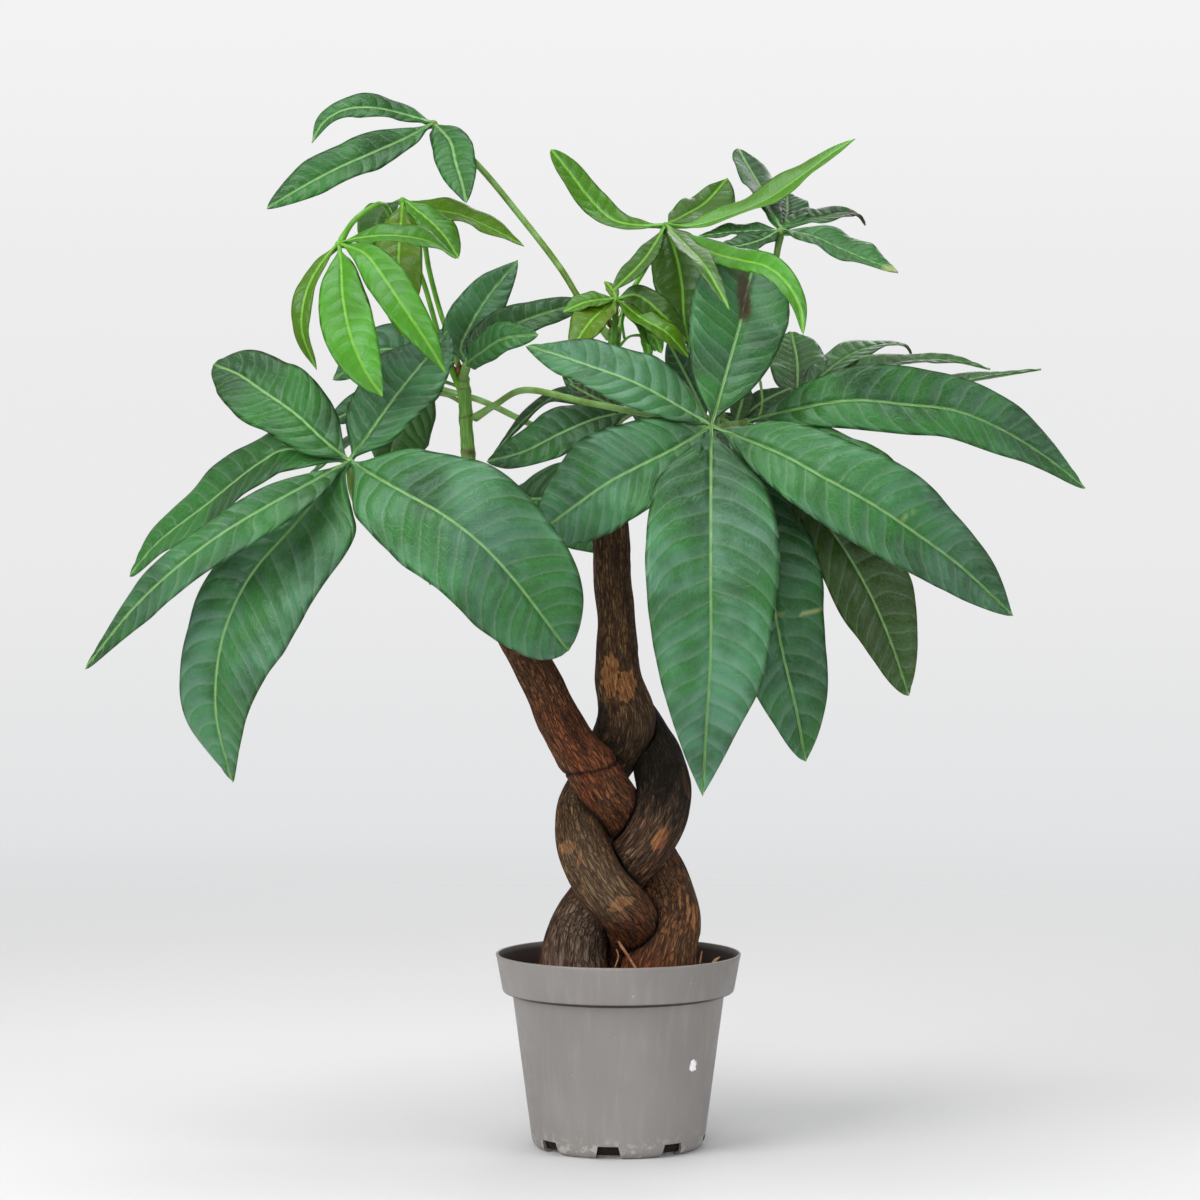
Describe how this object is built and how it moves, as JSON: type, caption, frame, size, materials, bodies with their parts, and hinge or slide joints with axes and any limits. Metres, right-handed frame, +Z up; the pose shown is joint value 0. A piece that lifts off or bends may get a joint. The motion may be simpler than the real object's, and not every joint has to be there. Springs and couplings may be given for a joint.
{
  "type": "potted money tree",
  "caption": "Potted money tree: braided woody trunks in a tapered plastic nursery pot with a rim band, green shoots and large palmate leaves with waved leaflets.",
  "frame": {"origin": "centre of the underside of the pot, on the surface that it stands on", "axes": "+Z up; the side seen in the picture faces -Y, with +X to the right"},
  "size_m": [0.4737, 0.3568, 0.5146],
  "materials": {
    "pot": "satin",
    "soil": "matte",
    "bark_left": "matte",
    "bark_middle": "matte",
    "bark_right": "matte",
    "shoot": "satin",
    "leaf_mature": "satin",
    "leaf_young": "satin"
  },
  "bodies": {
    "root": {"pot": "pot", "soil": "soil", "trunk_left": "bark_left", "trunk_middle": "bark_middle", "trunk_right": "bark_right", "shoot_left": "shoot", "shoot_middle": "shoot", "shoot_right": "shoot", "leaf_front_right": "leaf_mature", "leaf_right": "leaf_mature", "leaf_right_back": "leaf_mature", "leaf_upper_right": "leaf_mature", "leaf_top": "leaf_young", "leaf_top_left": "leaf_mature", "leaf_left_hanging": "leaf_young", "leaf_left_upper": "leaf_young", "leaf_front_left": "leaf_mature", "leaf_left_crown": "leaf_mature", "leaf_left_back": "leaf_mature", "leaf_middle_back": "leaf_mature", "leaf_middle_crown": "leaf_young", "leaf_back_left": "leaf_mature", "leaf_back_right": "leaf_mature"}
  },
  "joints": []
}
